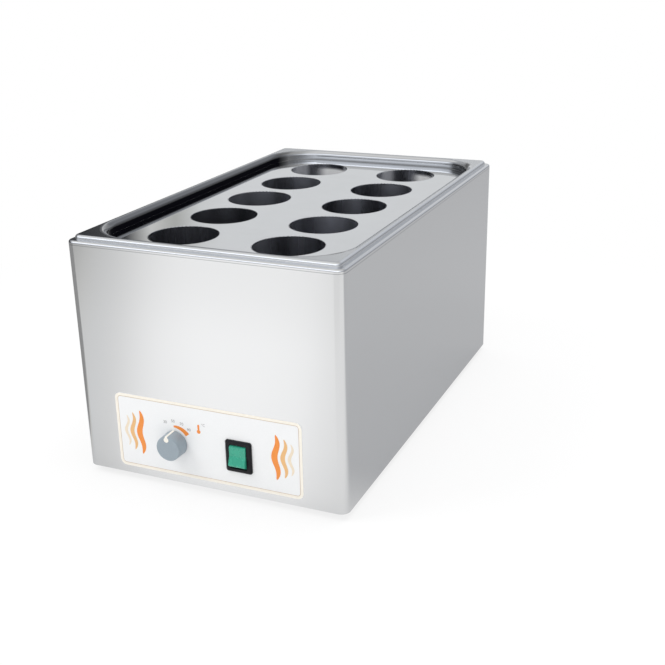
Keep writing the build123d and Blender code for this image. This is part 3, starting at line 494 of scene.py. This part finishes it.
for side, end in ((-1, "left"), (1, "right")):
    for name, outward, half_width, share_of_height, colour in (
        ("orange", 0.0905, 0.0040, 1.0, orange_ink),
        ("light", 0.1010, 0.0029, 0.86, light_orange_ink),
        ("sand", 0.1095, 0.0021, 0.70, sand_ink),
    ):
        across = label_middle.x + side * outward
        ribbon(f"ribbon_{name}_{end}", across, half_width, share_of_height, colour)

# ------------------------------------------------------------------ dial print
# The scale round the knob: grey figures from 30 to 90, an orange wedge that thickens with the heat,
# and a small thermometer with its unit to the right.
knob_low, knob_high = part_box("control_knob")
dial_middle = ((knob_low.x + knob_high.x) / 2, (knob_low.z + knob_high.z) / 2)
grey_ink = ink("grey_ink", (0.30, 0.29, 0.30))
figure_height = 0.0052
figure_radius = 0.0283
wedge_steps = 28
wedge_start = -3
wedge_sweep = 56
wedge_radius = 0.02165
wedge_thin_half = 0.0008
wedge_half_growth = 0.0022
sign_across = dial_middle[0] + 0.0330
bulb_up = dial_middle[1] + 0.0203
bulb_radius = 0.0025
bulb_steps = 24
stem_top = dial_middle[1] + 0.0282
stem_half = 0.0014
stem_steps = 8
unit_height = 0.0046
unit_across = sign_across + 0.0066
unit_up = dial_middle[1] + 0.0295


def dial_point(turn, radius):
    """Point on the label at an angle from straight up, clockwise, and at a radius from the knob."""
    return (
        dial_middle[0] + radius * math.sin(math.radians(turn)),
        dial_middle[1] + radius * math.cos(math.radians(turn)),
    )


def lettered(name, words, across, up, size):
    """Plain figures or a unit sign, screened flat on the label."""
    writing = bpy.data.curves.new(name, "FONT")
    writing.body = words
    writing.size = size
    writing.align_x = "CENTER"
    writing.align_y = "CENTER"
    pattern = bpy.data.objects.new(name, writing)
    mesh = bpy.data.meshes.new_from_object(pattern)
    faces = []
    for face in mesh.polygons:
        corners = [mesh.vertices[index].co for index in face.vertices]
        loop = [(across + corner.x, up + corner.y) for corner in corners]
        faces.append(loop)
    bpy.data.objects.remove(pattern)
    printed(name, faces, grey_ink)


for figure, turn in (("30", -26), ("50", -3), ("70", 21), ("90", 44)):
    across, up = dial_point(turn, figure_radius)
    lettered(f"figure_{figure}", figure, across, up, figure_height)
wedge_outer = []
wedge_inner = []
for step in range(wedge_steps + 1):
    turn = wedge_start + wedge_sweep * step / wedge_steps
    half = wedge_thin_half + wedge_half_growth * math.sqrt(step / wedge_steps)
    wedge_outer.append(dial_point(turn, wedge_radius + half))
    wedge_inner.append(dial_point(turn, wedge_radius - half))
printed("heat_wedge", band(wedge_inner, wedge_outer), orange_ink)

# The thermometer's outline: round its bulb from one side of the stem to the other, then over its top.
sign = []
for steps, start, sweep, radius, middle_up in (
    (bulb_steps, 118, 304, bulb_radius, bulb_up),
    (stem_steps, 0, 180, stem_half, stem_top),
):
    for step in range(steps + 1):
        turn = math.radians(start + sweep * step / steps)
        sign.append((sign_across + radius * math.cos(turn), middle_up + radius * math.sin(turn)))
printed("thermometer_sign", [sign], orange_ink)
lettered("unit_sign", "°C", unit_across, unit_up, unit_height)

# ------------------------------------------------------------------ rocker switch
# A snap-in mains switch: a glossy black nylon frame and barrel, a translucent green rocker that tips
# in it on two short pins, and a small neon lamp behind the rocker.
black_nylon = surface(
    "black_nylon", (0.009, 0.009, 0.012), 0.25, (0.26, 0.36), (420, 420, 420), 0.000012
)
black_nylon.node_tree.nodes["Principled BSDF"].inputs["Specular IOR Level"].default_value = 0.2
dress(black_nylon, "switch_housing")
green_plastic = surface(
    "green_plastic", (0.045, 0.440, 0.290), 0.12, (0.22, 0.32), (160, 160, 90), 0.00001
)
green_shader = green_plastic.node_tree.nodes["Principled BSDF"]
green_shader.inputs["Transmission Weight"].default_value = 0.15
green_shader.inputs["IOR"].default_value = 1.49
dress(green_plastic, "switch_rocker")
lamp_glass = surface("lamp_glass", (0.90, 0.85, 0.76), 0.06, (0.04, 0.08), (260, 260, 260), 0.000004)
lamp_shader = lamp_glass.node_tree.nodes["Principled BSDF"]
lamp_shader.inputs["Transmission Weight"].default_value = 0.9
lamp_shader.inputs["IOR"].default_value = 1.47
dress(lamp_glass, "switch_lamp")

# ------------------------------------------------------------------ knob and thermostat
# The knob is moulded in blue-grey plastic with a cream pointer laid into its front. It is pressed on
# the plated shaft of a capillary thermostat, whose bush and thin nut clamp the label's film.
knob_plastic = surface(
    "knob_plastic", (0.310, 0.368, 0.415), 0.08, (0.36, 0.48), (900, 900, 900), 0.00002
)
dress(knob_plastic, "control_knob")
pointer_plastic = surface(
    "pointer_plastic", (0.90, 0.86, 0.78), 0.05, (0.30, 0.40), (700, 700, 700), 0.000008
)
dress(pointer_plastic, "knob_pointer")
dress(bright_zinc, "thermostat_shaft", "thermostat_nut")
phenolic = surface("phenolic", (0.095, 0.075, 0.065), 0.30, (0.38, 0.52), (340, 340, 340), 0.00002)
dress(phenolic, "thermostat_body", "safety_cutout")
drawn_copper = surface(
    "drawn_copper", (0.72, 0.43, 0.30), 0.14, (0.22, 0.36), (300, 30, 300), 0.000006, metallic=1.0
)
dress(drawn_copper, "thermostat_bulb")

# ------------------------------------------------------------------ cable gland
# A nylon gland with a hexagon, a domed cap and a rubber seal, clamped in the back wall by its locknut.
# The mould left a fine matt skin on it.
gland_nylon = surface(
    "gland_nylon", (0.022, 0.022, 0.024), 0.30, (0.42, 0.54), (520, 520, 520), 0.000025
)
dress(gland_nylon, "cable_gland_body", "cable_gland_locknut", "cable_gland_cap")
dress(black_rubber, "cable_gland_seal")

# ------------------------------------------------------------------ terminal block, earth stud and leads
# A pale nylon block with brass clamps is screwed to the base plate beside the plated earth stud. The
# leads are extruded in brown, blue and green plastic.
block_nylon = surface("block_nylon", (0.84, 0.82, 0.76), 0.07, (0.36, 0.48), (420, 420, 420), 0.000015)
dress(block_nylon, "terminal_block")
turned_brass = surface(
    "turned_brass", (0.78, 0.62, 0.32), 0.12, (0.20, 0.30), (60, 60, 1500), 0.000004, metallic=1.0
)
dress(turned_brass, "terminal_screws")
dress(bright_zinc, "block_fixings", "earth_stud", "earth_nuts")
for colour_name, colour, leads in (
    (
        "lead_brown",
        (0.20, 0.095, 0.050),
        ("lead_switch_live", "lead_switch_thermostat", "lead_thermostat_cutout", "lead_cutout_element"),
    ),
    ("lead_blue", (0.060, 0.200, 0.600), ("lead_switch_neutral", "lead_element_neutral")),
    ("lead_green", (0.230, 0.520, 0.120), ("lead_earth",)),
):
    dress(surface(colour_name, colour, 0.12, (0.38, 0.50), (240, 240, 240), 0.00001), *leads)

# ------------------------------------------------------------------ water tank and heater
# The deep drawn tank hangs in the shelf's opening. Plated studs under it hold the bent heating tube,
# a clamp plate, a mineral wool pad and a galvanised cover, with nuts below.
dress(mill_steel, "water_tank")
dress(bright_zinc, "tank_studs", "stud_nuts", "element_pins")
heater_alloy = surface(
    "heater_alloy", (0.28, 0.29, 0.27), 0.40, (0.42, 0.60), (90, 24, 90), 0.00001, metallic=1.0
)
stain_brown = (0.16, 0.13, 0.12)
heat_stain = ramp(heater_alloy, coordinates(heater_alloy)["Y"], ((0.0, 0.0), (0.2, 0.35)))
tint(heater_alloy, heat_stain, stain_brown)
dress(heater_alloy, "heating_element")
spangles_per_metre = 110
spangle_depth = 0.4
spangle_grey = (0.36, 0.38, 0.41)
galvanised = surface(
    "galvanised_steel", (0.58, 0.59, 0.60), 0.10, (0.34, 0.48), (160, 160, 160), 0.00001, metallic=1.0
)
spangle = galvanised.node_tree.nodes.new("ShaderNodeTexVoronoi")
spangle.inputs["Scale"].default_value = spangles_per_metre
spangle_place = galvanised.node_tree.nodes.new("ShaderNodeTexCoord").outputs["Object"]
link(galvanised, spangle_place, spangle.inputs["Vector"])
spangle_share = calculate(galvanised, "MULTIPLY", spangle.outputs["Color"], spangle_depth)
tint(galvanised, spangle_share, spangle_grey)
dress(galvanised, "clamp_plate", "heater_cover")
mineral_wool = surface("mineral_wool", (0.72, 0.67, 0.52), 0.30, (0.86, 0.96), (90, 90, 1400), 0.0004)
dress(mineral_wool, "insulation_pad")

# ------------------------------------------------------------------ tray
# The lift-out tray is one deep drawn, polished stainless sheet with a rolled rim round a sunk plate.
# Handling has roughened the flat of its rim, which is also darkened with painted shade, and its rolled
# edge is a little less bright than the recess.
tray_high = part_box("bottle_tray")[1]
rim_width = 0.0125
rim_flat_depth = 0.00008
recess_corner = 0.060
plate_top = 0.2915
# Shares for the rim's wear roughness and its painted shade, then the rougher outer edge.
wear_and_shade_along = ((0.25, 0.25), (0.74, 0.85), (0.77, 1.0))
rim_shade_across = ((0.10, 0.95), (0.30, 0.70), (0.90, 0.25))
worn_roughness = (0.42, 0.42, 0.42, 1)
painted_rim_grey = (0.19, 0.195, 0.21)
edge_roughness = (0.22, 0.22, 0.22, 1)
edge_rise = ((0.93, 0.0), (0.98, 1.0))
wall_scale = 50.0
tray_steel = surface(
    "tray_steel", (0.80, 0.81, 0.82), 0.04, (0.035, 0.07), (26, 26, 26), 0.000003, metallic=1.0
)
tray_shader = tray_steel.node_tree.nodes["Principled BSDF"]
tray_roughness = tray_shader.inputs["Roughness"]
tray_place = coordinates(tray_steel)
back_to_front = share_across(tray_steel, tray_place["Y"], -1.0)
left_to_right = share_across(tray_steel, tray_place["X"], 2.5)

# Wear roughens the rim's flat more toward the front, and painted shade darkens it there too, most at the
# left.
rim_flat = calculate(tray_steel, "GREATER_THAN", tray_place["Z"], tray_high.z - rim_flat_depth)
wear_and_shade = calculate(tray_steel, "MULTIPLY", rim_flat, ramp(tray_steel, back_to_front, wear_and_shade_along))
polished = tray_roughness.links[0].from_socket
link(tray_steel, blend_colours(tray_steel, wear_and_shade, polished, worn_roughness), tray_roughness)
painted_rim_shade = calculate(tray_steel, "MULTIPLY", wear_and_shade, ramp(tray_steel, left_to_right, rim_shade_across))
tint(tray_steel, painted_rim_shade, painted_rim_grey)

# How far each spot lies outside the recess's wall: 0.5 at the wall and 0.05 more for each millimetre.
beyond_x = calculate(tray_steel, "ABSOLUTE", tray_place["X"])
beyond_x = calculate(tray_steel, "SUBTRACT", beyond_x, tray_high.x - rim_width - recess_corner)
beyond_y = calculate(tray_steel, "ABSOLUTE", tray_place["Y"])
beyond_y = calculate(tray_steel, "SUBTRACT", beyond_y, tray_high.y - rim_width - recess_corner)
inward = calculate(tray_steel, "MINIMUM", calculate(tray_steel, "MAXIMUM", beyond_x, beyond_y), 0.0)
reach_x = calculate(tray_steel, "MAXIMUM", beyond_x, 0.0)
reach_y = calculate(tray_steel, "MAXIMUM", beyond_y, 0.0)
reach = calculate(tray_steel, "MULTIPLY", reach_y, reach_y)
reach = calculate(tray_steel, "MULTIPLY_ADD", reach_x, reach_x, reach)
reach = calculate(tray_steel, "ADD", calculate(tray_steel, "SQRT", reach), inward)
wall_start = 0.5 - wall_scale * recess_corner
from_wall = calculate(tray_steel, "MULTIPLY_ADD", reach, wall_scale, wall_start)
outer_edge = ramp(tray_steel, from_wall, edge_rise)
worn_gloss = tray_roughness.links[0].from_socket
link(tray_steel, blend_colours(tray_steel, outer_edge, worn_gloss, edge_roughness), tray_roughness)

# The roll from the rim into the recess carries painted shade in bands that follow the wall: dark bands
# that stand in for the shaded room the polished steel would mirror. Each has its depth by the distance
# from the wall and its reach across the tray, or for the foot its height above the plate.
foot_scale = 100.0
painted_shade_black = (0.004, 0.004, 0.006)
left_roll = (
    (0.446, 0.0),
    (0.4495, 1.0),
    (0.505, 1.0),
    (0.515, 0.92),
    (0.5325, 0.78),
    (0.56, 0.70),
    (0.60, 0.75),
    (0.65, 0.74),
    (0.70, 0.65),
    (0.775, 0.50),
    (0.825, 0.36),
    (0.90, 0.12),
    (0.925, 0.0),
)
streak_roll = (
    (0.446, 0.0),
    (0.4495, 0.95),
    (0.505, 0.72),
    (0.53, 0.62),
    (0.60, 0.50),
    (0.70, 0.20),
    (0.80, 0.0),
)
rear_roll = ((0.50, 0.0), (0.515, 0.35), (0.56, 0.35), (0.60, 0.15), (0.68, 0.0))
corner_roll = (
    (0.52, 0.0),
    (0.56, 0.8),
    (0.70, 0.9),
    (0.82, 0.9),
    (0.88, 0.7),
    (1.0, 0.4),
    (1.0, 0.0),
)
foot_roll = ((0.446, 0.0), (0.4495, 1.0), (0.505, 1.0), (0.515, 0.0))
left_reach = ((0.118, 1.0), (0.135, 0.85), (0.155, 0.35), (0.19, 0.10), (0.24, 0.0))
streak_reach = ((0.13, 1.0), (0.18, 0.85), (0.23, 0.25), (0.30, 0.0))
corner_reach = (
    (0.80, 0.0),
    (0.83, 0.3),
    (0.86, 0.6),
    (0.872, 1.0),
    (0.888, 1.0),
    (0.895, 0.0),
)
foot_height = ((0.0, 0.72), (0.08, 0.6), (0.3, 0.0))
above_plate = calculate(tray_steel, "SUBTRACT", tray_place["Z"], plate_top)
above_plate = calculate(tray_steel, "MULTIPLY", above_plate, foot_scale)
left_share = ramp(tray_steel, left_to_right, left_reach)
corner_share = ramp(tray_steel, left_to_right, corner_reach)
corner_depth = ramp(tray_steel, from_wall, corner_roll)
corner_band = calculate(tray_steel, "MULTIPLY", corner_depth, corner_share)
shade = calculate(tray_steel, "MULTIPLY", ramp(tray_steel, from_wall, left_roll), left_share)
for roll, share in (
    (streak_roll, ramp(tray_steel, left_to_right, streak_reach)),
    (rear_roll, 1.0),
    (foot_roll, ramp(tray_steel, above_plate, foot_height)),
):
    share = calculate(tray_steel, "MULTIPLY", ramp(tray_steel, from_wall, roll), share)
    shade = calculate(tray_steel, "MAXIMUM", shade, share)
shade = calculate(tray_steel, "MAXIMUM", shade, corner_band)
# Painted shade: the bands are tinted nearly black.
tint(tray_steel, shade, painted_shade_black)

# The darkest painted shade, at the foot of the left wall and the rear right corner, is also matt and
# mirrors nothing.
matt_roll = ((0.446, 0.0), (0.4495, 0.96), (0.505, 0.96), (0.53, 0.0))
matt_corner_share = 0.7
matt = calculate(tray_steel, "MULTIPLY", ramp(tray_steel, from_wall, matt_roll), left_share)
matt_corner = calculate(tray_steel, "MULTIPLY", corner_band, matt_corner_share)
matt = calculate(tray_steel, "MAXIMUM", matt, matt_corner)
link(tray_steel, calculate(tray_steel, "SUBTRACT", 1.0, matt), tray_shader.inputs["Metallic"])
tray_shader.inputs["Specular IOR Level"].default_value = 0.0
dress(tray_steel, "bottle_tray")

# ------------------------------------------------------------------ wells
# Ten closed wells, deep drawn from thinner sheet, are welded under the tray's holes. Their walls keep
# the drawing's upright marks, and the two at the rear carry a painted bright reflection on the right of
# the far wall.
well_marks = (20, 20, 1)
well_relief = 0.000004
well_mark_detail = 0.6
well_steel = surface(
    "well_steel", (0.66, 0.67, 0.72), 0.42, (0.18, 0.34), well_marks, well_relief, metallic=1.0
)
for step in well_steel.node_tree.nodes:
    if step.type == "TEX_NOISE":
        step.inputs["Detail"].default_value = well_mark_detail
dress(well_steel, *(f"bottle_well_{number:02d}" for number in range(1, 9)))
# A painted bright reflection, lower down on the right of the far wall of the two rear wells: the steel
# there is made pale and less metallic.
painted_reflection_bright = (0.93, 0.935, 0.945)
painted_reflection_metal_loss = 0.85
painted_reflection_backward = ((0.46, 0.0), (0.60, 1.0))
painted_reflection_down = ((0.08, 0.0), (0.20, 1.0))
well_scale = 10.0
depth_scale = 20.0
for number, painted_reflection_from, painted_reflection_to in ((9, 0.22, 0.46), (10, 0.40, 0.60)):
    name = f"bottle_well_{number:02d}"
    well_low, well_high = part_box(name)
    well_middle = (well_low + well_high) / 2
    painted_reflection_steel = surface(
        f"painted_reflection_steel_{number:02d}",
        (0.55, 0.56, 0.60),
        0.45,
        (0.16, 0.32),
        well_marks,
        well_relief,
        metallic=1.0,
    )
    well_place = coordinates(painted_reflection_steel)
    rightward_in_well = calculate(painted_reflection_steel, "SUBTRACT", well_place["X"], well_middle.x)
    rightward_in_well = share_across(painted_reflection_steel, rightward_in_well, well_scale)
    backward_in_well = calculate(painted_reflection_steel, "SUBTRACT", well_place["Y"], well_middle.y)
    backward_in_well = share_across(painted_reflection_steel, backward_in_well, well_scale)
    below_plate = calculate(painted_reflection_steel, "SUBTRACT", plate_top, well_place["Z"])
    below_plate = calculate(painted_reflection_steel, "MULTIPLY", below_plate, depth_scale)
    painted_reflection = 1.0
    for place_in_well, stops in (
        (rightward_in_well, ((painted_reflection_from, 0.0), (painted_reflection_to, 1.0))),
        (backward_in_well, painted_reflection_backward),
        (below_plate, painted_reflection_down),
    ):
        share = ramp(painted_reflection_steel, place_in_well, stops, "EASE")
        painted_reflection = calculate(painted_reflection_steel, "MULTIPLY", share, painted_reflection)
    tint(painted_reflection_steel, painted_reflection, painted_reflection_bright)
    link(
        painted_reflection_steel,
        calculate(painted_reflection_steel, "MULTIPLY_ADD", painted_reflection, -painted_reflection_metal_loss, 1.0),
        painted_reflection_steel.node_tree.nodes["Principled BSDF"].inputs["Metallic"],
    )
    dress(painted_reflection_steel, name)

# ------------------------------------------------------------------ rims of the holes
# Each hole of the tray has a fine burnished lip, turned down into the hole where the sheet was
# punched, so that no bottle is scratched.
hole_radius = 0.0425
rim_steps = 128
lip_profile = (
    (0.00085, 0.00000),
    (0.00060, 0.00014),
    (0.00030, 0.00020),
    (0.00008, 0.00014),
    (-0.00004, -0.00006),
    (-0.00006, -0.00080),
)
lip_steel = surface(
    "lip_steel", (0.84, 0.85, 0.86), 0.05, (0.10, 0.16), (200, 200, 200), 0.000002, metallic=1.0
)
for number in range(1, 11):
    well_low, well_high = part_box(f"bottle_well_{number:02d}")
    well_middle = (well_low + well_high) / 2
    lip = bmesh.new()
    rings = []
    for outward, upward_by in lip_profile:
        ring = []
        for step in range(rim_steps):
            turn = 2 * math.pi * step / rim_steps
            across = well_middle.x + (hole_radius + outward) * math.cos(turn)
            along = well_middle.y + (hole_radius + outward) * math.sin(turn)
            ring.append(lip.verts.new((across, along, plate_top + upward_by)))
        rings.append(ring)
    for outer_ring, inner_ring in zip(rings, rings[1:]):
        for step in range(rim_steps):
            after = (step + 1) % rim_steps
            lip.faces.new((outer_ring[step], outer_ring[after], inner_ring[after], inner_ring[step]))
    mesh = bpy.data.meshes.new(f"hole_lip_{number:02d}")
    lip.to_mesh(mesh)
    lip.free()
    for face in mesh.polygons:
        face.use_smooth = True
    mesh.materials.append(lip_steel)
    piece = bpy.data.objects.new(mesh.name, mesh)
    bpy.context.scene.collection.objects.link(piece)
    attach(piece, "tray")
